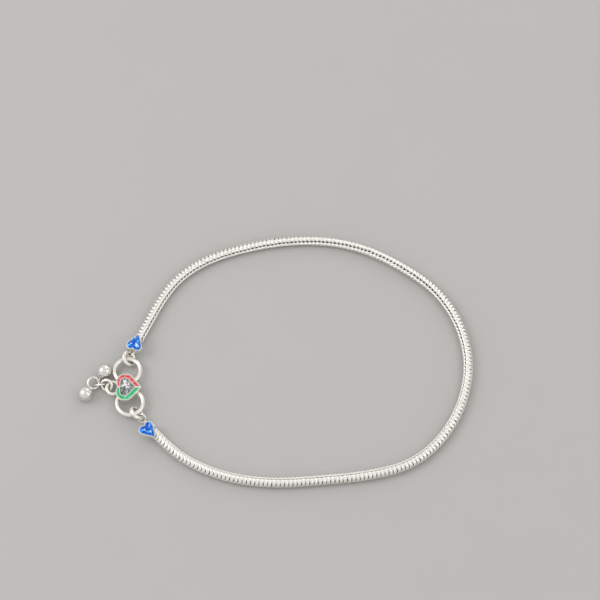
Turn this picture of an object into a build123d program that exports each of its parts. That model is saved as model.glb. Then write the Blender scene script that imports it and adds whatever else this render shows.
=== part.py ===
"""Payal anklet: a foxtail chain loop closed by an S-hook with a heart, and a two-bell drop.

Millimetres, +Z up. The origin is the centre of the bounding box on the surface it lies on.
The loop lies flat: the clasp is on the -X side, and the chain runs round the +X side.
Each solid below is one piece of metal, enamel or glass, in a node of its own.
"""
from build123d import *
import math
import os

# ---------------------------------------------------------------- driving dimensions
CHAIN_DIAMETER = 2.8          # over the links
HOOK_WIRE = 1.2               # wire of the S-hook
RING_WIRE = 1.15              # wire of the two jump rings
RING_RADIUS = 1.8             # centre line of a jump ring
EYE_WIRE = 0.44               # thin eyes soldered to the blue hearts
EYE_RADIUS = 1.1
FIT_GAP = 0.05                # clearance of a stone or of enamel in its seat
CROWN_TAPER = 38              # slope of a stone's crown, from upright

# the S-hook, seen from above
HOOK_LEVEL = 1.85             # height of its wire above the surface
LOOP_RADIUS = 3.5             # centre line of both loops of the S
UPPER_LOOP = (-40.05, -3.95)  # centre of the loop that holds the upper jump ring
LOWER_LOOP = (-39.05, -13.3)
UPPER_TIP_ANGLE = -64.0       # where each loop's free end stops, under the heart
LOWER_TIP_ANGLE = 130.0

# jump rings: where each sits on its loop, how far it is pulled outwards, which side is up
RING_LEAN = 42.0
UPPER_RING = dict(loop=UPPER_LOOP, angle=84.7, pull=0.1, high_side=1)
LOWER_RING = dict(loop=LOWER_LOOP, angle=-57.0, pull=0.05, high_side=-1)

# the chain's route, as the corners that its gentle bends pass inside of
CHAIN_LEVEL = CHAIN_DIAMETER / 2
CHAIN_POINTS = [
    (-37.3, 5.4), (-34.8, 10.6), (-31.6, 17.3), (-27.0, 24.1), (-19.4, 29.6), (-9.0, 33.3),
    (2.4, 35.5), (13.8, 35.6), (24.8, 32.9), (34.8, 27.4), (44.3, 20.3), (50.3, 10.4),
    (52.7, -1.4), (50.4, -13.5), (44.6, -23.8), (36.1, -31.0), (24.8, -34.0), (12.1, -35.3),
    (-0.7, -36.2), (-12.6, -34.6), (-22.1, -30.7), (-28.6, -25.9), (-32.8, -21.2),
]
BEND_SHARE = 0.45             # how much of the shorter run each bend's tangent takes

# middle heart, tip towards +X, soldered across the hook
HEART_PLACE = (-40.35, -9.4)  # midway between its two lobe centres
HEART_BASE = 1.95
HEART_TOP = 3.6
HEART_SHAPE = dict(lobe_offset=1.4, lobe_radius=2.5, tip=4.4)
HEART_RIM = 0.25
INNER_RIM = 0.2
CHANNEL_DEPTH = 0.45
CHANNEL_BREAK = 0.5           # silver left between red and green at cleft and tip
GREY_SEAT_LEVEL = 2.75
GREY_SHAPE = dict(lobe_offset=1.35, lobe_radius=1.15, back=-1.3, tip=2.6)
GREY_CROWN = 0.75             # how far the grey stone rises over its seat's edge

# blue hearts, one over each end of the chain
BLUE_BASE = 2.9
BLUE_TOP = 4.1
BLUE_SHAPE = dict(lobe_offset=0.98, lobe_radius=1.22, tip=3.73)
BEZEL_WALL = 0.26
BEZEL_FLOOR = 0.4
BLUE_CROWN = 0.5
UPPER_BLUE = dict(place=(-38.3, 2.45), heading=70.6)
LOWER_BLUE = dict(place=(-34.4, -21.35), heading=-47.0)
UPPER_EYE_SWING = 15.0        # how far round the jump ring each thin eye has slipped
LOWER_EYE_SWING = 20.0
EYE_PULL = 0.18               # how far an eye's centre is drawn towards its heart
TONGUE_DIAMETER = 0.9
TONGUE_ROOT = -0.3            # where the tongue meets the cup, from the lobe line
TONGUE_DROP = 0.15            # how far its middle is below the cup's underside there
BLOCK_LENGTH = 1.4            # block under the cup that the chain's last link is soldered to
BLOCK_WIDTH = 2.2
BLOCK_CLEARANCE = 0.2

# eye in the cleft of the middle heart, and the pieces of the bell drop
DROP_EYE = dict(centre=(-43.75, -9.0, 1.8), ring_radius=1.75, wire=0.9)
DROP_RING = dict(centre=(-45.45, -8.17, 1.76), normal=(-0.27, -0.57, 0.62), ring_radius=1.5, wire=0.8)
BAIL_LINK = dict(centre=(-47.33, -7.86, 1.23), run=(0.94, -0.01, 0.35), up=(0, -0.34, 1))
BAIL_LENGTH = 3.3
BAIL_HEIGHT = 2.1
BAIL_WIRE = 0.5
BELL_RING = dict(centre=(-49.11, -7.25, 1.21), normal=(0.08, -0.25, 0.92), ring_radius=1.5, wire=0.62)

BELL_DIAMETER = 4.0
BELL_WALL = 0.3
FLANGE_REACH = 0.3
FLANGE_THICKNESS = 0.3
NECK_DIAMETER = 0.84
NECK_EYE_RADIUS = 0.74
NECK_EYE_WIRE = 0.36
BELL_LEVEL = BELL_DIAMETER / 2 + 0.02
UPPER_BELL = dict(place=(-46.24, -4.2), eye=(-47.87, -6.3, 1.37), seam_normal=(-0.46, 0.2, 0.32))
LOWER_BELL = dict(place=(-51.13, -10.76), eye=(-50.03, -8.44, 1.07), seam_normal=(-0.76, 0.01, 0.78))


# ---------------------------------------------------------------- shared shapes
def direction(angle):
    """Unit vector in the plan at an angle in degrees."""
    return Vector(math.cos(math.radians(angle)), math.sin(math.radians(angle)), 0)


def ring(centre, normal, ring_radius, wire):
    """A round ring of round wire."""
    return Plane(origin=centre, z_dir=normal) * Torus(ring_radius, wire / 2)


def rod(start, end, diameter):
    """A straight piece of round wire between two points."""
    path = Edge.make_line(start, end)
    return sweep(Plane(origin=path @ 0, z_dir=path % 0) * Circle(diameter / 2), path=path)


def lobe_touch(lobe_offset, lobe_radius, tip):
    """Where the straight flank of a heart leaves its upper lobe."""
    reach = math.hypot(lobe_offset, tip)
    angle = math.atan2(-lobe_offset, tip) + math.acos(lobe_radius / reach)
    return lobe_radius * math.cos(angle), lobe_offset + lobe_radius * math.sin(angle)


def heart_face(lobe_offset, lobe_radius, tip):
    """A heart with its tip at (tip, 0) and its lobe centres on x = 0."""
    touch_x, touch_y = lobe_touch(lobe_offset, lobe_radius, tip)
    cleft = (-math.sqrt(lobe_radius ** 2 - lobe_offset ** 2), 0)
    outline = Wire([
        ThreePointArc(cleft, (-lobe_radius, lobe_offset), (touch_x, touch_y)).edge(),
        Line((touch_x, touch_y), (tip, 0)).edge(),
        Line((tip, 0), (touch_x, -touch_y)).edge(),
        ThreePointArc((touch_x, -touch_y), (-lobe_radius, -lobe_offset), cleft).edge(),
    ])
    return Face(outline)


def shield_face(lobe_offset, lobe_radius, back, tip):
    """A heart without a cleft: its back is straight, at x = back."""
    centre_x = back + lobe_radius
    touch_x, touch_y = lobe_touch(lobe_offset, lobe_radius, tip - centre_x)
    touch_x += centre_x
    slant = math.sqrt(0.5) * lobe_radius
    upper_mid = (centre_x - slant, lobe_offset + slant)
    lower_mid = (centre_x - slant, -lobe_offset - slant)
    outline = Wire([
        Line((back, -lobe_offset), (back, lobe_offset)).edge(),
        ThreePointArc((back, lobe_offset), upper_mid, (touch_x, touch_y)).edge(),
        Line((touch_x, touch_y), (tip, 0)).edge(),
        Line((tip, 0), (touch_x, -touch_y)).edge(),
        ThreePointArc((touch_x, -touch_y), lower_mid, (back, -lobe_offset)).edge(),
    ])
    return Face(outline)


def prism(face, low, high):
    """An outline drawn at the origin, raised between two levels."""
    return extrude(Pos(0, 0, low) * face, high - low, dir=(0, 0, 1))


def crowned_stone(face, seat_level, girdle_level, crown):
    """A stone that fills its seat and narrows over the girdle to a flat table."""
    top = extrude(Pos(0, 0, girdle_level) * face, crown, dir=(0, 0, 1), taper=CROWN_TAPER)
    return prism(face, seat_level, girdle_level) + top


# ---------------------------------------------------------------- chain
def bend_radii(points):
    """The largest arc that each corner's shorter run has room for."""
    radii = []
    for before, corner, after in zip(points, points[1:], points[2:]):
        run_in = Vector(*corner) - Vector(*before)
        run_out = Vector(*after) - Vector(*corner)
        turn = math.radians(run_in.get_angle(run_out))
        shorter = min(run_in.length, run_out.length)
        radii.append(BEND_SHARE * shorter / math.tan(turn / 2))
    return radii


def chain():
    """One tube over the links, from the upper blue heart right round to the lower one."""
    points = [(x, y, CHAIN_LEVEL) for x, y in CHAIN_POINTS]
    radii = bend_radii(points)
    path = FilletPolyline(*points, radius=radii)
    tube = sweep(Plane(origin=path @ 0, z_dir=path % 0) * Circle(CHAIN_DIAMETER / 2), path=path)
    section = math.pi * CHAIN_DIAMETER ** 2 / 4
    print("chain bends, mm:", [round(radius, 1) for radius in radii])
    print("chain length, mm:", round(path.length, 1))
    print("chain volume over section x length:", round(tube.volume / (section * path.length), 4))
    return tube


# ---------------------------------------------------------------- clasp
def hook_path():
    """Centre line of the S: two loops joined by the straight spine that touches both."""
    upper = Vector(*UPPER_LOOP)
    lower = Vector(*LOWER_LOOP)
    across = lower - upper
    bearing = math.degrees(math.atan2(across.Y, across.X))
    spread = math.degrees(math.acos(2 * LOOP_RADIUS / across.length))
    upper_touch = bearing - spread + 360
    lower_touch = bearing - spread + 180
    level = Pos(0, 0, HOOK_LEVEL)
    upper_arc = CenterArc(UPPER_LOOP, LOOP_RADIUS, UPPER_TIP_ANGLE, upper_touch - UPPER_TIP_ANGLE)
    lower_arc = CenterArc(LOWER_LOOP, LOOP_RADIUS, lower_touch, LOWER_TIP_ANGLE - 360 - lower_touch)
    spine = Line(upper_arc @ 1, lower_arc @ 0)
    return level * Wire([upper_arc.edge(), spine.edge(), lower_arc.edge()])


def hook():
    """The S of round wire, its two free ends rounded off."""
    path = hook_path()
    wire = sweep(Plane(origin=path @ 0, z_dir=path % 0) * Circle(HOOK_WIRE / 2), path=path)
    return wire + Pos(path @ 0) * Sphere(HOOK_WIRE / 2) + Pos(path @ 1) * Sphere(HOOK_WIRE / 2)


def enamel_channels():
    """The two channel outlines of the middle heart, upper half first."""
    outer = offset(heart_face(**HEART_SHAPE), -HEART_RIM)
    inner = offset(shield_face(**GREY_SHAPE), INNER_RIM)
    reach = 2 * HEART_SHAPE["tip"]
    half = Rectangle(2 * reach, reach)
    shift = (reach + CHANNEL_BREAK) / 2
    return [(outer - inner) & (Pos(0, side * shift) * half) for side in (1, -1)]


def middle_heart():
    """The heart's silver: base, rims, the seat of its stone and two channels for enamel."""
    body = prism(heart_face(**HEART_SHAPE), HEART_BASE, HEART_TOP)
    body -= prism(shield_face(**GREY_SHAPE), GREY_SEAT_LEVEL, HEART_TOP)
    for channel in enamel_channels():
        body -= prism(channel, HEART_TOP - CHANNEL_DEPTH, HEART_TOP)
    return Pos(*HEART_PLACE, 0) * body


def clasp_hook():
    """The S, the heart soldered over its spine, and the eye for the bells in the heart's cleft."""
    eye = ring(DROP_EYE["centre"], (0, 0, 1), DROP_EYE["ring_radius"], DROP_EYE["wire"])
    return hook() + middle_heart() + eye


def enamel(channel):
    """Enamel that fills one channel a hair below the rims."""
    floor = HEART_TOP - CHANNEL_DEPTH
    shape = offset(channel, -FIT_GAP)
    return Pos(*HEART_PLACE, 0) * prism(shape, floor + FIT_GAP, HEART_TOP - FIT_GAP)


def grey_stone():
    """The clear grey stone of the middle heart."""
    face = offset(shield_face(**GREY_SHAPE), -FIT_GAP)
    stone = crowned_stone(face, GREY_SEAT_LEVEL + FIT_GAP, HEART_TOP - 0.1, GREY_CROWN)
    return Pos(*HEART_PLACE, 0) * stone


# ---------------------------------------------------------------- jump rings and end settings
def jump_ring_frame(loop, angle, pull, high_side):
    """Centre, outward and uphill directions of a leaning jump ring that rests on the surface."""
    lean = math.radians(RING_LEAN)
    outward = direction(angle)
    along = direction(angle + 90) * high_side
    uphill = along * math.sin(lean) + Vector(0, 0, math.cos(lean))
    level = RING_RADIUS * math.cos(lean) + RING_WIRE / 2
    centre = Vector(*loop, level) + outward * (LOOP_RADIUS + pull)
    return centre, outward, uphill


def jump_ring(place):
    """One closed jump ring round the hook's wire."""
    centre, outward, uphill = jump_ring_frame(**place)
    return ring(centre, outward.cross(uphill), RING_RADIUS, RING_WIRE)


def eye_frame(place, swing, towards):
    """Centre and normal of the thin eye that hangs on a jump ring, and where it faces."""
    centre, outward, uphill = jump_ring_frame(**place)
    turn = math.radians(swing)
    held = centre + (outward * math.cos(turn) - uphill * math.sin(turn)) * RING_RADIUS
    tangent = outward * -math.sin(turn) - uphill * math.cos(turn)
    reach = Vector(*towards) - held
    reach = (reach - tangent * reach.dot(tangent)).normalized()
    return held + reach * EYE_PULL, tangent, reach


def heart_location(place, heading, level):
    """Where a blue heart's own axes lie: its tip points along the heading."""
    return Pos(place[0], place[1], level) * Rot(0, 0, heading)


def end_setting(heart, jump_ring_place, swing, chain_end, chain_next):
    """The cup of a blue heart, the block that holds the chain's end, a tongue and the thin eye."""
    outline = heart_face(**BLUE_SHAPE)
    cup = prism(outline, 0, BLUE_TOP - BLUE_BASE)
    cup -= prism(offset(outline, -BEZEL_WALL), BEZEL_FLOOR, BLUE_TOP - BLUE_BASE)
    seat = heart_location(**heart, level=BLUE_BASE)
    run = (Vector(*chain_end) - Vector(*chain_next)).normalized()
    middle = Vector(*chain_end) + run * (FIT_GAP + BLOCK_LENGTH / 2)
    bearing = math.degrees(math.atan2(run.Y, run.X))
    height = BLUE_BASE + BEZEL_FLOOR / 2 - BLOCK_CLEARANCE
    block = Pos(middle.X, middle.Y, BLOCK_CLEARANCE + height / 2) * Rot(0, 0, bearing)
    root = (seat * Pos(TONGUE_ROOT, 0, -TONGUE_DROP)).position
    centre, normal, reach = eye_frame(jump_ring_place, swing, root)
    tongue = rod(centre + reach * EYE_RADIUS, root, TONGUE_DIAMETER)
    joint = Pos(centre + reach * EYE_RADIUS) * Sphere(TONGUE_DIAMETER / 2)
    eye = ring(centre, normal, EYE_RADIUS, EYE_WIRE)
    return seat * cup + block * Box(BLOCK_LENGTH, BLOCK_WIDTH, height) + tongue + joint + eye


def blue_stone(heart):
    """The blue glass heart in its cup."""
    face = offset(heart_face(**BLUE_SHAPE), -BEZEL_WALL - FIT_GAP)
    girdle = BLUE_TOP - BLUE_BASE - FIT_GAP
    stone = crowned_stone(face, BEZEL_FLOOR + FIT_GAP, girdle, BLUE_CROWN)
    return heart_location(**heart, level=BLUE_BASE) * stone


# ---------------------------------------------------------------- bell drop
def bail_link():
    """A long link on edge, sloping up from the bell ring to the drop ring."""
    run = Vector(*BAIL_LINK["run"])
    lie = Plane(origin=BAIL_LINK["centre"], x_dir=run, z_dir=run.cross(Vector(*BAIL_LINK["up"])))
    rail = (BAIL_HEIGHT - BAIL_WIRE) / 2
    straight = (BAIL_LENGTH - BAIL_WIRE) / 2 - rail
    outline = Wire([
        Line((-straight, rail), (straight, rail)).edge(),
        ThreePointArc((straight, rail), (straight + rail, 0), (straight, -rail)).edge(),
        Line((straight, -rail), (-straight, -rail)).edge(),
        ThreePointArc((-straight, -rail), (-straight - rail, 0), (-straight, rail)).edge(),
    ])
    path = lie * outline
    return sweep(Plane(origin=path @ 0, z_dir=path % 0) * Circle(BAIL_WIRE / 2), path=path)


def bell(place, eye, seam_normal):
    """A hollow ball of two halves, the flange where they meet, and a neck with its eye."""
    middle = Vector(*place, BELL_LEVEL)
    towards_eye = (Vector(*eye) - middle).normalized()
    normal = Vector(*seam_normal)
    normal -= towards_eye * normal.dot(towards_eye)
    radius = BELL_DIAMETER / 2
    ball = Pos(middle) * Sphere(radius)
    flange = Plane(origin=middle, z_dir=normal) * Cylinder(radius + FLANGE_REACH, FLANGE_THICKNESS)
    neck = rod(middle, Vector(*eye) - towards_eye * NECK_EYE_RADIUS, NECK_DIAMETER)
    hollow = Pos(middle) * Sphere(radius - BELL_WALL)
    return ball + flange + neck - hollow + ring(eye, normal, NECK_EYE_RADIUS, NECK_EYE_WIRE)


# ---------------------------------------------------------------- the pieces
def pieces():
    upper_channel, lower_channel = enamel_channels()
    ends = [(x, y, CHAIN_LEVEL) for x, y in CHAIN_POINTS]
    return {
        "chain": chain(),
        "clasp_hook": clasp_hook(),
        "red_enamel": enamel(upper_channel),
        "green_enamel": enamel(lower_channel),
        "grey_stone": grey_stone(),
        "jump_ring_upper": jump_ring(UPPER_RING),
        "jump_ring_lower": jump_ring(LOWER_RING),
        "end_setting_upper": end_setting(UPPER_BLUE, UPPER_RING, UPPER_EYE_SWING, ends[0], ends[1]),
        "end_setting_lower": end_setting(LOWER_BLUE, LOWER_RING, LOWER_EYE_SWING, ends[-1], ends[-2]),
        "blue_stone_upper": blue_stone(UPPER_BLUE),
        "blue_stone_lower": blue_stone(LOWER_BLUE),
        "drop_ring": ring(**DROP_RING),
        "bail_link": bail_link(),
        "bell_ring": ring(**BELL_RING),
        "bell_upper": bell(**UPPER_BELL),
        "bell_lower": bell(**LOWER_BELL),
    }


os.makedirs("parts", exist_ok=True)
for node, solid in pieces().items():
    export_step(solid, f"parts/{node}.step")
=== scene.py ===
"""Looks of the payal anklet: foxtail chain, silver clasp with a heart, glass stones and two bells."""
import math

import bmesh
import bpy
import numpy as np
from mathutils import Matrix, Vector


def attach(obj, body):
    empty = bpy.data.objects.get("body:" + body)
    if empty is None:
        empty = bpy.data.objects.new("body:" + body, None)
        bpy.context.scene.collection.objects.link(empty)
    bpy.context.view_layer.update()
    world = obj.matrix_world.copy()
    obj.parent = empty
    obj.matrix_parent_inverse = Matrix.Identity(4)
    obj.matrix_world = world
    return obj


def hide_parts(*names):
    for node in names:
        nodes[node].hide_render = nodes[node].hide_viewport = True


MM = 0.001

# ---------------------------------------------------------------- sizes, mm
# the chain's route, as in the CAD part
CHAIN_POINTS = [
    (-37.3, 5.4), (-34.8, 10.6), (-31.6, 17.3), (-27.0, 24.1), (-19.4, 29.6), (-9.0, 33.3),
    (2.4, 35.5), (13.8, 35.6), (24.8, 32.9), (34.8, 27.4), (44.3, 20.3), (50.3, 10.4),
    (52.7, -1.4), (50.4, -13.5), (44.6, -23.8), (36.1, -31.0), (24.8, -34.0), (12.1, -35.3),
    (-0.7, -36.2), (-12.6, -34.6), (-22.1, -30.7), (-28.6, -25.9), (-32.8, -21.2),
]
CHAIN_LEVEL = 1.4
LINK_PITCH = 1.11
LINK_WIRE = 0.86                       # across the wire, from its outer to its inner side
BAR_BROAD = 1.16                       # its breadth the other way at its outer bars, as a share
LEG_BROAD = 0.72                       # the same at its legs
WIRE_POWER = 2.6                       # its section: 2 is round, more is squarer
LINK_WAIST = (0.0, 0.5, 0.0)           # across, out from the axis, back: a quarter of one link
LINK_LEG = (0.4, 0.78, 0.5)
LINK_CORNER = (0.8, 0.88, 1.12)
LINK_SHOULDER = (0.98, 0.5, 1.44)
LINK_LOBE = (1.0, 0.0, 1.54)
LINK_STEPS = 30
LINK_SIDES = 12
SECTION_HALF = 1.36                    # the drawn chain's section, a circle pulled slightly square
SECTION_POWER = 2.2
SECTION_EASE = 0.82                    # beyond this share of it the wires are pressed in
CHAIN_OVERRUN = 0.5                    # how far the end links go into the blocks they are soldered to
# how far the open side of the links leans towards the ankle, degrees, along the route
CHAIN_LEAN = [(0.0, 60), (0.15, 64), (0.2, 60), (0.25, 46), (0.31, 27), (0.37, 17), (0.41, 30), (0.45, 46),
              (0.6, 52), (0.67, 43), (0.73, 36), (0.79, 33), (0.86, 40), (0.92, 50), (1.0, 56)]
LEAN_JITTER = 1.6
PITCH_JITTER = 0.02

TARNISH_AND_SHADE_REACH = 0.6                          # how wide a crevice gathers tarnish and painted shade

# middle heart, tip towards +X
HEART_PLACE = (-40.35, -9.4)
HEART_TOP = 3.6
HEART_SHAPE = dict(offset=1.4, radius=2.5, tip=4.4)
HEART_RIM = 0.25
INNER_RIM = 0.2
CHANNEL_BREAK = 0.5
CHANNEL_DEPTH = 0.45
ENAMEL_EDGE = 0.06                     # its edge lies this far below the rims
ENAMEL_CROWN = 0.1
ENAMEL_GAP = 0.01                      # between it and its channel's walls
ENAMEL_FLOOR_GAP = 0.02
ENAMEL_STEPS = 60                      # sections along each half
ENAMEL_ENDS = 3                        # sections over which its dome fades at both ends
ENAMEL_END_SHARE = 0.15
GREY_SHAPE = dict(offset=1.35, radius=1.15, back=-1.3, tip=2.6)
GREY_LEVELS = dict(bottom=2.8, girdle=3.5, table=4.15, peak=4.24)

# blue hearts over the chain's ends
BLUE_SHAPE = dict(offset=0.93, radius=1.12, tip=3.6)
BLUE_LEVELS = dict(bottom=3.35, girdle=4.08, table=4.44, peak=4.54)
STONE_SIDES = 9                        # girdle points of half a stone
STONE_TABLE = 0.6                      # how large the table is, as a share of the girdle
STONE_STAR = 0.5                       # and the star, as a share of the table
STONE_INSET = 0.02                     # from its seat
STONE_DIMPLE = 0.04                    # how far its middle lies below its peak
# where facets flash with painted reflections, from the lobe line: x towards the tip, y, radius, tone
GREY_GLINTS = [(0.0, 1.3, 0.55, 0.9), (0.1, 0.5, 0.4, 1.0), (0.5, -0.4, 0.4, 1.0), (1.2, -0.6, 0.35, 0.85),
               (1.0, 0.7, 0.4, 0.8), (-0.7, 0.2, 0.4, 0.85)]
UPPER_GLINTS = [(0.35, 1.1, 0.32, 0.95), (2.3, 0.25, 0.35, 0.85), (0.3, -0.7, 0.4, 0.95),
                (0.0, -1.25, 0.35, 0.75), (1.4, -0.6, 0.4, 0.62), (-0.3, 1.5, 0.35, 0.55)]
LOWER_GLINTS = [(0.15, 1.05, 0.35, 0.95), (0.35, -1.0, 0.35, 0.85), (1.9, 0.2, 0.35, 0.8),
                (-0.4, 1.5, 0.35, 0.6), (1.2, -0.5, 0.35, 0.55)]
UPPER_BLUE = dict(place=(-38.3, 2.45), heading=70.6)
LOWER_BLUE = dict(place=(-34.4, -21.35), heading=-47.0)

# ---------------------------------------------------------------- camera, floor, lamps
AIM = (6.6, 18.0, 0.0)
ELEVATION = 65.0
CAMERA_DISTANCE = 618.75
LENS = 135.0
SENSOR = 36.0
FLOOR_HALF = 1500.0
FLOOR_COLOUR = (0.51, 0.505, 0.495)
# name, place, diameter in mm, and power in W, all turned to the origin
LAMPS = [("key", (-420, 40, 430), 400, 0.8), ("fill", (420, -160, 420), 420, 0.3),
         ("back", (260, 480, 300), 360, 0.3)]
ROOM_COLOUR = (1.0, 0.99, 0.97, 1)
ROOM_STRENGTH = 0.78


# ---------------------------------------------------------------- small helpers
def new_object(name, vertices, faces, material, smooth=True):
    """A mesh object from points in mm, its faces turned outwards."""
    mesh = bpy.data.meshes.new(name)
    mesh.from_pydata((np.array(vertices, float) * MM).tolist(), [], faces)
    mesh.materials.append(material)
    work = bmesh.new()
    work.from_mesh(mesh)
    bmesh.ops.recalc_face_normals(work, faces=work.faces)
    work.to_mesh(mesh)
    work.free()
    if smooth:
        mesh.shade_smooth()
    obj = bpy.data.objects.new(name, mesh)
    bpy.context.collection.objects.link(obj)
    return obj


def stands_for(obj, slot, *nodes):
    """The piece rides on the anklet and replaces CAD nodes; slot is not used."""
    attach(obj, "root")
    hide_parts(*nodes)


# ---------------------------------------------------------------- materials
def new_material(name):
    """An empty material, its node tree and its shader."""
    material = bpy.data.materials.new(name)
    material.use_nodes = True
    tree = material.node_tree
    return material, tree, tree.nodes["Principled BSDF"]


def add(tree, kind, links=(), **values):
    """A node with its input values, and links given as (socket name, source socket)."""
    node = tree.nodes.new(kind)
    for name, value in values.items():
        if name in node.bl_rna.properties:
            setattr(node, name, value)
        else:
            node.inputs[name.replace("_", " ")].default_value = value
    for name, source in links:
        tree.links.new(source, node.inputs[name])
    return node


def ramp(tree, source, stops):
    """A colour ramp over a value: stops are (position, (r, g, b))."""
    node = tree.nodes.new("ShaderNodeValToRGB")
    elements = node.color_ramp.elements
    while len(elements) < len(stops):
        elements.new(0.5)
    for element, (position, colour) in zip(elements, stops):
        element.position = position
        element.color = (*colour, 1)
    tree.links.new(source, node.inputs["Fac"])
    return node.outputs["Color"]


def span(tree, source, low, high, to_low, to_high):
    """A value carried from one range to another."""
    node = add(tree, "ShaderNodeMapRange", [("Value", source)])
    for name, value in (("From Min", low), ("From Max", high), ("To Min", to_low), ("To Max", to_high)):
        node.inputs[name].default_value = value
    return node.outputs["Result"]


def mix(tree, share, a, b, blend="MIX"):
    """Two colours mixed by a share."""
    node = tree.nodes.new("ShaderNodeMix")
    node.data_type = "RGBA"
    node.blend_type = blend
    tree.links.new(share, node.inputs[0])
    for socket, value in ((node.inputs[6], a), (node.inputs[7], b)):
        if isinstance(value, tuple):
            socket.default_value = (*value, 1)
        else:
            tree.links.new(value, socket)
    return node.outputs[2]


def silver(name, bright, dull, roughness, deep_tarnish_and_shade=False):
    """Polished silver: cloudy polish, fine rub marks, and tarnish with painted shade in the crevices where
    cloths don't reach.
    """
    material, tree, shader = new_material(name)
    where = add(tree, "ShaderNodeTexCoord").outputs["Object"]
    cloud = add(tree, "ShaderNodeTexNoise", [("Vector", where)], Scale=420, Detail=3, Roughness=0.55)
    metal = mix(tree, span(tree, cloud.outputs["Fac"], 0.35, 0.7, 0, 1), bright, dull)
    # tarnish and painted shade: crevices found by ambient occlusion are darkened towards near black
    hollow = add(tree, "ShaderNodeAmbientOcclusion", samples=6, Distance=TARNISH_AND_SHADE_REACH * MM)
    tarnish_and_shade = span(tree, hollow.outputs["AO"], 0.25, 0.75, 0.75, 0)
    metal = mix(tree, tarnish_and_shade, metal, (0.16, 0.15, 0.14))
    # painted shade and tarnish on the wires deep inside the chain: the nearer a point lies to the chain's
    # axis, the darker
    if deep_tarnish_and_shade:
        depth = add(tree, "ShaderNodeAttribute", attribute_name="depth").outputs["Fac"]
        metal = mix(tree, span(tree, depth, 0.74, 0.5, 0, 1), metal, (0.1, 0.095, 0.085))
    tree.links.new(metal, shader.inputs["Base Color"])
    tree.links.new(span(tree, cloud.outputs["Fac"], 0.3, 0.7, roughness, roughness * 1.7),
                   shader.inputs["Roughness"])
    rub = add(tree, "ShaderNodeTexNoise", [("Vector", where)], Scale=5200, Detail=2, Roughness=0.6)
    dent = add(tree, "ShaderNodeTexNoise", [("Vector", where)], Scale=900, Detail=1, Roughness=0.5)
    fine = add(tree, "ShaderNodeBump", [("Height", rub.outputs["Fac"])], Strength=0.08, Distance=0.01 * MM)
    coarse = add(tree, "ShaderNodeBump", [("Height", dent.outputs["Fac"]),
                                          ("Normal", fine.outputs["Normal"])],
                 Strength=0.25, Distance=0.05 * MM)
    tree.links.new(coarse.outputs["Normal"], shader.inputs["Normal"])
    shader.inputs["Metallic"].default_value = 1
    return material


def enamel(name, colour, light, dark):
    """Fired enamel: a glossy coat over colour that grows lighter towards the rims."""
    material, tree, shader = new_material(name)
    where = add(tree, "ShaderNodeTexCoord").outputs["Object"]
    swirl = add(tree, "ShaderNodeTexNoise", [("Vector", where)], Scale=1100, Detail=3, Roughness=0.6)
    body = ramp(tree, swirl.outputs["Fac"], [(0.3, dark), (0.52, colour), (0.75, light)])
    rim = add(tree, "ShaderNodeAttribute", attribute_name="rim").outputs["Fac"]
    tree.links.new(mix(tree, span(tree, rim, 0.5, 1, 0, 0.8), body, light), shader.inputs["Base Color"])
    tree.links.new(span(tree, swirl.outputs["Fac"], 0.3, 0.7, 0.12, 0.25), shader.inputs["Roughness"])
    ripple = add(tree, "ShaderNodeBump", [("Height", swirl.outputs["Fac"])],
                 Strength=0.15, Distance=0.04 * MM)
    tree.links.new(ripple.outputs["Normal"], shader.inputs["Normal"])
    shader.inputs["Specular IOR Level"].default_value = 0.2
    shader.inputs["Coat Weight"].default_value = 0.5
    shader.inputs["Coat Roughness"].default_value = 0.04
    return material


def foiled_glass(name, stops):
    """Cut glass with foil behind it, its reflections painted: each facet shows its own painted tone."""
    material, tree, shader = new_material(name)
    painted_tone = add(tree, "ShaderNodeAttribute", attribute_name="painted_tone").outputs["Fac"]
    where = add(tree, "ShaderNodeTexCoord").outputs["Object"]
    # painted glints: small cells shift each facet's painted tone up and down a little
    painted_streaks = add(tree, "ShaderNodeTexVoronoi", [("Vector", where)], Scale=1500)
    glint = span(tree, painted_streaks.outputs["Distance"], 0.0, 0.6, -0.14, 0.14)
    total = add(tree, "ShaderNodeMath", operation="ADD")
    tree.links.new(painted_tone, total.inputs[0])
    tree.links.new(glint, total.inputs[1])
    tree.links.new(ramp(tree, total.outputs["Value"], stops), shader.inputs["Base Color"])
    tree.links.new(span(tree, painted_tone, 0, 1, 0.14, 0.05), shader.inputs["Roughness"])
    shader.inputs["Metallic"].default_value = 0.35
    shader.inputs["Specular IOR Level"].default_value = 0.2
    shader.inputs["Coat Weight"].default_value = 0.45
    shader.inputs["Coat Roughness"].default_value = 0.02
    return material


def floor_paper(name, colour):
    """Pale, faintly mottled paper."""
    material, tree, shader = new_material(name)
    where = add(tree, "ShaderNodeTexCoord").outputs["Object"]
    mottle = add(tree, "ShaderNodeTexNoise", [("Vector", where)], Scale=60, Detail=4)
    shade = tuple(c * 0.97 for c in colour)
    tree.links.new(mix(tree, mottle.outputs["Fac"], colour, shade), shader.inputs["Base Color"])
    shader.inputs["Roughness"].default_value = 0.75
    return material


# ---------------------------------------------------------------- chain
def route_line():
    """Points along the route's NURBS spline, in mm."""
    curve = bpy.data.curves.new("chain_route", "CURVE")
    curve.dimensions = "3D"
    spline = curve.splines.new("NURBS")
    spline.points.add(len(CHAIN_POINTS) - 1)
    for point, (x, y) in zip(spline.points, CHAIN_POINTS):
        point.co = (x * MM, y * MM, CHAIN_LEVEL * MM, 1)
    spline.order_u = 3
    spline.use_endpoint_u = True
    curve.resolution_u = 24
    obj = bpy.data.objects.new("chain_route", curve)
    bpy.context.collection.objects.link(obj)
    line = bpy.data.meshes.new_from_object(obj)
    points = np.array([v.co for v in line.vertices], float) / MM
    bpy.data.objects.remove(obj)
    bpy.data.meshes.remove(line)
    bpy.data.curves.remove(curve)
    return points


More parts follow.
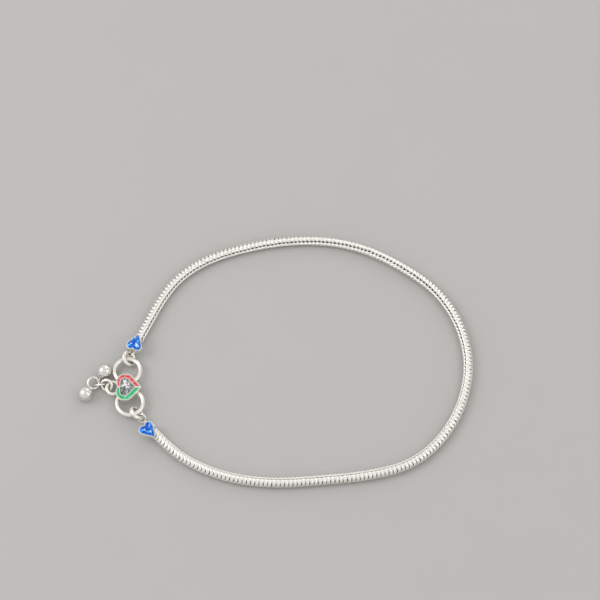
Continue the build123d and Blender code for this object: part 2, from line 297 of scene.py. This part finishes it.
def closed_line(corners, count):
    """A smooth closed line through the corners, as evenly spaced points."""
    corners = np.array(corners, float)
    samples = []
    share = np.linspace(0, 1, 24, endpoint=False)[:, None]
    for i in range(len(corners)):
        a, b, c, d = (corners[(i + k) % len(corners)] for k in (-1, 0, 1, 2))
        samples.append(0.5 * (2 * b + (c - a) * share + (2 * a - 5 * b + 4 * c - d) * share ** 2
                              + (3 * b - a - 3 * c + d) * share ** 3))
    samples = np.vstack(samples + [samples[0][:1]])
    steps = np.r_[0, np.cumsum(np.linalg.norm(np.diff(samples, axis=0), axis=1))]
    wanted = np.linspace(0, steps[-1], count, endpoint=False)
    return np.stack([np.interp(wanted, steps, samples[:, k]) for k in range(3)], axis=1)


def link_mesh():
    """One folded link: points (across, out, along), how far out each is (0 to 1), and faces."""
    quarter = [LINK_WAIST, LINK_LEG, LINK_CORNER, LINK_SHOULDER, LINK_LOBE]
    back = quarter[-2:0:-1]
    corners = quarter + [(x, -y, t) for x, y, t in back] + [(0, -LINK_WAIST[1], 0)]
    corners += [(-x, -y, t) for x, y, t in quarter[1:]] + [(-x, y, t) for x, y, t in back]
    line = closed_line(corners, LINK_STEPS)
    ahead = np.roll(line, -1, 0) - np.roll(line, 1, 0)
    ahead /= np.linalg.norm(ahead, axis=1)[:, None]
    out = line * (1, 1, 0)
    out -= ahead * np.sum(out * ahead, axis=1)[:, None]
    out /= np.linalg.norm(out, axis=1)[:, None]
    side = np.cross(ahead, out)
    turn = 2 * math.pi * (np.arange(LINK_SIDES) + 0.5) / LINK_SIDES
    section = np.stack([np.cos(turn), np.sin(turn)])
    section /= np.sum(np.abs(section) ** WIRE_POWER, axis=0) ** (1 / WIRE_POWER)
    broad = np.interp(np.abs(line[:, 0]), (LINK_LEG[0], LINK_SHOULDER[0]), (LEG_BROAD, BAR_BROAD))
    points = line[:, None] + LINK_WIRE / 2 * (section[0][:, None] * out[:, None]
                                              + (broad[:, None] * section[1])[:, :, None] * side[:, None])
    points = points.reshape(-1, 3)
    reach = np.sum(np.abs(points[:, :2] / SECTION_HALF) ** SECTION_POWER, axis=1) ** (1 / SECTION_POWER)
    spare = 1 - SECTION_EASE
    pressed = np.where(reach > SECTION_EASE, 1 - spare * np.exp((SECTION_EASE - reach) / spare), reach)
    points[:, :2] *= (pressed / reach)[:, None]
    faces = []
    for i in range(LINK_STEPS):
        here, there = i * LINK_SIDES, (i + 1) % LINK_STEPS * LINK_SIDES
        for k in range(LINK_SIDES):
            n = (k + 1) % LINK_SIDES
            faces.append((here + k, here + n, there + n, there + k))
    return points, pressed, faces


def chain(material):
    """All links along the route, each bent with it and leaning as the chain is twisted."""
    line = route_line()
    steps = np.r_[0, np.cumsum(np.linalg.norm(np.diff(line, axis=0), axis=1))]
    length = steps[-1]
    heading = np.gradient(line, steps, axis=0)
    points, reach, faces = link_mesh()
    first = LINK_LOBE[2] + LINK_WIRE / 2 - CHAIN_OVERRUN
    last = length - LINK_WIRE / 2 + CHAIN_OVERRUN
    count = round((last - first) / LINK_PITCH) + 1
    chance = np.random.default_rng(7)
    places = np.linspace(first, last, count) + chance.normal(0, PITCH_JITTER, count)
    jitter = chance.normal(0, LEAN_JITTER, count)
    at, degrees = zip(*CHAIN_LEAN)
    every_point, every_face = [], []
    for k, place in enumerate(places):
        along = place - points[:, 2]
        inside = np.clip(along, 0, length)
        centre = np.stack([np.interp(inside, steps, line[:, i]) for i in range(3)], axis=1)
        ahead = np.stack([np.interp(inside, steps, heading[:, i]) for i in range(3)], axis=1)
        ahead /= np.linalg.norm(ahead, axis=1)[:, None]
        centre += ahead * (along - inside)[:, None]
        inward = np.cross(ahead, (0, 0, 1))
        lean = np.radians(np.interp(inside / length, at, degrees) + jitter[k])[:, None]
        out = np.cos(lean) * np.array([[0, 0, 1.0]]) + np.sin(lean) * inward
        across = np.cross(out, ahead)
        every_point.append(centre + across * points[:, :1] + out * points[:, 1:2])
        every_face += [tuple(v + k * len(points) for v in face) for face in faces]
    obj = new_object("chain_links", np.vstack(every_point), every_face, material)
    # how far out from the chain's axis each point lies; the chain silver paints shade and tarnish on the
    # wires deeper in by it
    depth = obj.data.attributes.new("depth", "FLOAT", "POINT")
    depth.data.foreach_set("value", np.tile(reach, count).astype(np.float32))
    return obj


# ---------------------------------------------------------------- heart outlines
def arc(centre, radius, start, end, steps):
    """Points of an arc in the plan, angles in radians."""
    angles = np.linspace(start, end, steps + 1)
    return np.stack([centre[0] + radius * np.cos(angles), centre[1] + radius * np.sin(angles)], axis=1)


def half_heart(offset, radius, tip, grow=0.0, back=None, low=0.0):
    """The upper half of a heart, from its back round the lobe to its tip, moved outwards by grow.

    Without back the lobe starts at the cleft; with it the heart's back is straight, at x = back.
    The half is cut off along y = low.
    """
    middle = (0.0 if back is None else back + radius, offset)
    reach = math.hypot(offset, tip - middle[0])
    flank = math.atan2(-offset, tip - middle[0]) + math.acos(radius / reach)
    grown = radius + grow
    if back is not None:
        lobe = arc(middle, grown, math.pi, flank, 24)
        run = np.array([[middle[0] - grown, 0.0]])
    else:
        cleft = math.asin(offset / radius)
        lobe = arc(middle, grown, math.pi + cleft, flank, 24)
        run = arc((-math.sqrt(radius ** 2 - offset ** 2), 0.0), -grow, 0.0, cleft, 4)[:-1]
    end_x = middle[0] + (grown + offset * math.sin(flank)) / math.cos(flank)
    return cut_off(np.vstack([run, lobe, [[end_x, 0.0]]]), low)


def cut_off(points, low):
    """The part of an arched line above y = low."""
    above = np.flatnonzero(points[:, 1] > low)
    first, last = above[0], above[-1]
    ends = []
    for inner, outer in ((first, first - 1), (last, last + 1)):
        if outer < 0:
            ends.append(points[inner])
            continue
        share = (points[inner, 1] - low) / (points[inner, 1] - points[outer, 1])
        ends.append(points[inner] + (points[outer] - points[inner]) * share)
    return np.vstack([ends[0], points[first:last + 1], ends[1]])


def respaced(points, count):
    """The same open line as evenly spaced points."""
    steps = np.r_[0, np.cumsum(np.linalg.norm(np.diff(points, axis=0), axis=1))]
    wanted = np.linspace(0, steps[-1], count)
    return np.stack([np.interp(wanted, steps, points[:, k]) for k in range(2)], axis=1)


def placed(points, place, heading):
    """Points turned to a heading and moved to their place in the plan."""
    turned = np.array(points, float)
    c, s = math.cos(math.radians(heading)), math.sin(math.radians(heading))
    x, y = turned[:, 0].copy(), turned[:, 1].copy()
    turned[:, 0] = place[0] + c * x - s * y
    turned[:, 1] = place[1] + s * x + c * y
    return turned


# ---------------------------------------------------------------- enamel
ENAMEL_PROFILE = [(0.0, -1.0), (0.0, 0.0), (0.06, 0.35), (0.2, 0.75), (0.4, 0.97), (0.6, 0.97),
                  (0.8, 0.75), (0.94, 0.35), (1.0, 0.0), (1.0, -1.0)]


def enamel_fill(name, side, material):
    """Enamel in one channel of the middle heart, domed by its surface tension."""
    low = CHANNEL_BREAK / 2 + ENAMEL_GAP
    last = ENAMEL_STEPS - 1
    outer = respaced(half_heart(**HEART_SHAPE, grow=-HEART_RIM - ENAMEL_GAP, low=low), ENAMEL_STEPS)
    inner = respaced(half_heart(**GREY_SHAPE, grow=INNER_RIM + ENAMEL_GAP, low=low), ENAMEL_STEPS)
    floor = HEART_TOP - CHANNEL_DEPTH + ENAMEL_FLOOR_GAP
    edge = HEART_TOP - ENAMEL_EDGE
    points, rims = [], []
    for i, (a, b) in enumerate(zip(outer, inner)):
        end_fade = min(1.0, min(i, last - i) / ENAMEL_ENDS + ENAMEL_END_SHARE)
        for across, rise in ENAMEL_PROFILE:
            x, y = a + (b - a) * across
            z = floor if rise < 0 else edge + ENAMEL_CROWN * rise * end_fade
            points.append((x, side * y, z))
            rims.append(abs(2 * across - 1))
    wide = len(ENAMEL_PROFILE)
    faces = []
    for i in range(last):
        for k in range(wide):
            n = (k + 1) % wide
            faces.append((i * wide + k, i * wide + n, (i + 1) * wide + n, (i + 1) * wide + k))
    faces += [tuple(range(wide)), tuple(range(last * wide, ENAMEL_STEPS * wide))]
    obj = new_object(name, placed(points, HEART_PLACE, 0), faces, material)
    rim = obj.data.attributes.new("rim", "FLOAT", "POINT")
    rim.data.foreach_set("value", np.array(rims, np.float32))
    return obj


# ---------------------------------------------------------------- stones
def outline(shape):
    """A whole heart outline from two halves, anticlockwise from the tip, a little inside its seat."""
    half = respaced(half_heart(**shape, grow=-STONE_INSET), STONE_SIDES)[::-1]
    lower = half[-2:0:-1] * (1, -1)
    return np.vstack([half, lower])


def cut_stone(name, shape, levels, place, heading, glints, material):
    """A heart-shaped cut stone: girdle, a ring of crown facets, and star facets over the table.

    Facets are painted dark at random, but for those within a glint, which get a bright painted reflection:
    (x, y, radius, tone), from the lobe line.
    """
    girdle = outline(shape)
    centre = np.array([girdle[:, 0].mean(), 0.0])
    count = len(girdle)
    between = (girdle + np.roll(girdle, -1, 0)) / 2
    table = centre + (between - centre) * STONE_TABLE
    star = centre + (girdle - centre) * STONE_TABLE * STONE_STAR
    rings = [(girdle, levels["bottom"]), (girdle, levels["girdle"]), (table, levels["table"]),
             (star, levels["peak"])]
    points = [(x, y, z) for ring, z in rings for x, y in ring]
    points.append((*centre, levels["peak"] - STONE_DIMPLE))
    faces = [tuple(range(count))]
    for i in range(count):
        n = (i + 1) % count
        faces.append((i, n, count + n, count + i))
        faces.append((count + i, count + n, 2 * count + i))
        faces.append((2 * count + i, count + n, 2 * count + n))
        faces.append((2 * count + i, 2 * count + n, 3 * count + n))
        faces.append((3 * count + i, 2 * count + i, 3 * count + n))
        if i % 2 == 0:
            faces.append((3 * count + i, 3 * count + n, 3 * count + (n + 1) % count, 4 * count))
    obj = new_object(name, placed(points, place, heading), faces, material, smooth=False)
    points = np.array(points)
    # painted reflections: a dark tone at random for each facet, and a bright one within each glint
    painted_reflections = np.random.default_rng(len(glints)).uniform(0.0, 0.5, len(faces))
    for i, face in enumerate(faces):
        middle = points[list(face)].mean(axis=0)
        for x, y, radius, glint in glints:
            if math.hypot(middle[0] - x, middle[1] - y) < radius:
                painted_reflections[i] = glint
    painted_tone = obj.data.attributes.new("painted_tone", "FLOAT", "FACE")
    painted_tone.data.foreach_set("value", painted_reflections.astype(np.float32))
    return obj


# ---------------------------------------------------------------- stage
def point_at(obj, target):
    """Turn a camera or a lamp towards a point."""
    direction = Vector(target) - obj.location
    obj.rotation_euler = direction.to_track_quat("-Z", "Y").to_euler()


def camera():
    """The camera at the photo's angle."""
    lens = bpy.data.cameras.new("camera")
    lens.lens = LENS
    lens.sensor_width = SENSOR
    lens.clip_start = 0.01
    lens.clip_end = 10
    obj = bpy.data.objects.new("camera", lens)
    bpy.context.collection.objects.link(obj)
    rise = math.radians(ELEVATION)
    away = Vector((0, -math.cos(rise), math.sin(rise))) * CAMERA_DISTANCE
    obj.location = (Vector(AIM) + away) * MM
    point_at(obj, Vector(AIM) * MM)
    bpy.context.scene.camera = obj


def soft_lamp(name, place, size, power):
    """A round soft lamp turned to the origin."""
    lamp = bpy.data.lights.new(name, "AREA")
    lamp.shape = "DISK"
    lamp.size = size * MM
    lamp.energy = power
    obj = bpy.data.objects.new(name, lamp)
    bpy.context.collection.objects.link(obj)
    obj.location = Vector(place) * MM
    point_at(obj, Vector((0, 0, 0)))


def studio():
    """A pale floor, three soft lamps and an even, bright room."""
    corners = [(-FLOOR_HALF, -FLOOR_HALF, 0), (FLOOR_HALF, -FLOOR_HALF, 0),
               (FLOOR_HALF, FLOOR_HALF, 0), (-FLOOR_HALF, FLOOR_HALF, 0)]
    floor = new_object("floor", corners, [(0, 1, 2, 3)], floor_paper("floor_paper", FLOOR_COLOUR))
    for lamp in LAMPS:
        soft_lamp(*lamp)
    world = bpy.data.worlds.new("room")
    world.use_nodes = True
    background = world.node_tree.nodes["Background"]
    background.inputs["Color"].default_value = ROOM_COLOUR
    background.inputs["Strength"].default_value = ROOM_STRENGTH
    bpy.context.scene.world = world


# ---------------------------------------------------------------- the anklet
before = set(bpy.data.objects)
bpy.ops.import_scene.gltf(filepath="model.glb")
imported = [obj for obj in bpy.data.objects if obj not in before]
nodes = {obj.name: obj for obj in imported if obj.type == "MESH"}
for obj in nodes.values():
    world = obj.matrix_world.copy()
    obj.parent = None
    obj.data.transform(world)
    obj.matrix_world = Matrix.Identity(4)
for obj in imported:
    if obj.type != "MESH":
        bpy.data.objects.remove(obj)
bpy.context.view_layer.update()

bpy.context.scene.view_settings.view_transform = "Standard"
camera()
studio()

CHAIN_SILVER = silver("chain_silver", (0.97, 0.95, 0.91), (0.9, 0.88, 0.84), 0.24, deep_tarnish_and_shade=True)
WIRE_SILVER = silver("wire_silver", (0.96, 0.935, 0.885), (0.88, 0.85, 0.8), 0.2)
BELL_SILVER = silver("bell_silver", (0.92, 0.9, 0.87), (0.76, 0.73, 0.7), 0.09)

for node in ("clasp_hook", "jump_ring_upper", "jump_ring_lower", "end_setting_upper",
             "end_setting_lower", "drop_ring", "bail_link", "bell_ring"):
    nodes[node].data.materials.clear()
    nodes[node].data.materials.append(WIRE_SILVER)
for node in ("bell_upper", "bell_lower"):
    nodes[node].data.materials.clear()
    nodes[node].data.materials.append(BELL_SILVER)

stands_for(chain(CHAIN_SILVER), "chain_silver", "chain")
RED = enamel("red_enamel", (0.68, 0.065, 0.075), (0.92, 0.52, 0.49), (0.5, 0.03, 0.04))
GREEN = enamel("green_enamel", (0.02, 0.5, 0.17), (0.34, 0.86, 0.56), (0.0, 0.33, 0.09))
stands_for(enamel_fill("red_enamel_fill", 1, RED), "red_enamel", "red_enamel")
stands_for(enamel_fill("green_enamel_fill", -1, GREEN), "green_enamel", "green_enamel")

# the glass ramps run from the dark glass up to the near white of painted reflections
GREY_GLASS = foiled_glass("grey_glass", [(0.0, (0.05, 0.055, 0.06)), (0.4, (0.24, 0.25, 0.26)),
                                         (0.7, (0.6, 0.62, 0.64)), (1.0, (0.95, 0.96, 0.97))])
BLUE_GLASS = foiled_glass("blue_glass", [(0.0, (0.0, 0.03, 0.4)), (0.35, (0.0, 0.1, 0.72)),
                                         (0.65, (0.02, 0.36, 0.9)), (0.85, (0.25, 0.68, 0.97)),
                                         (1.0, (0.8, 0.94, 1.0))])
stones = [
    ("grey_cut_stone", GREY_SHAPE, GREY_LEVELS, dict(place=HEART_PLACE, heading=0),
     GREY_GLINTS, GREY_GLASS, "grey_glass", "grey_stone"),
    ("blue_cut_stone_upper", BLUE_SHAPE, BLUE_LEVELS, UPPER_BLUE,
     UPPER_GLINTS, BLUE_GLASS, "blue_glass", "blue_stone_upper"),
    ("blue_cut_stone_lower", BLUE_SHAPE, BLUE_LEVELS, LOWER_BLUE,
     LOWER_GLINTS, BLUE_GLASS, "blue_glass", "blue_stone_lower"),
]
for name, shape, levels, where, glints, glass, slot, node in stones:
    stone = cut_stone(name, shape, levels, where["place"], where["heading"], glints, glass)
    stands_for(stone, slot, node)
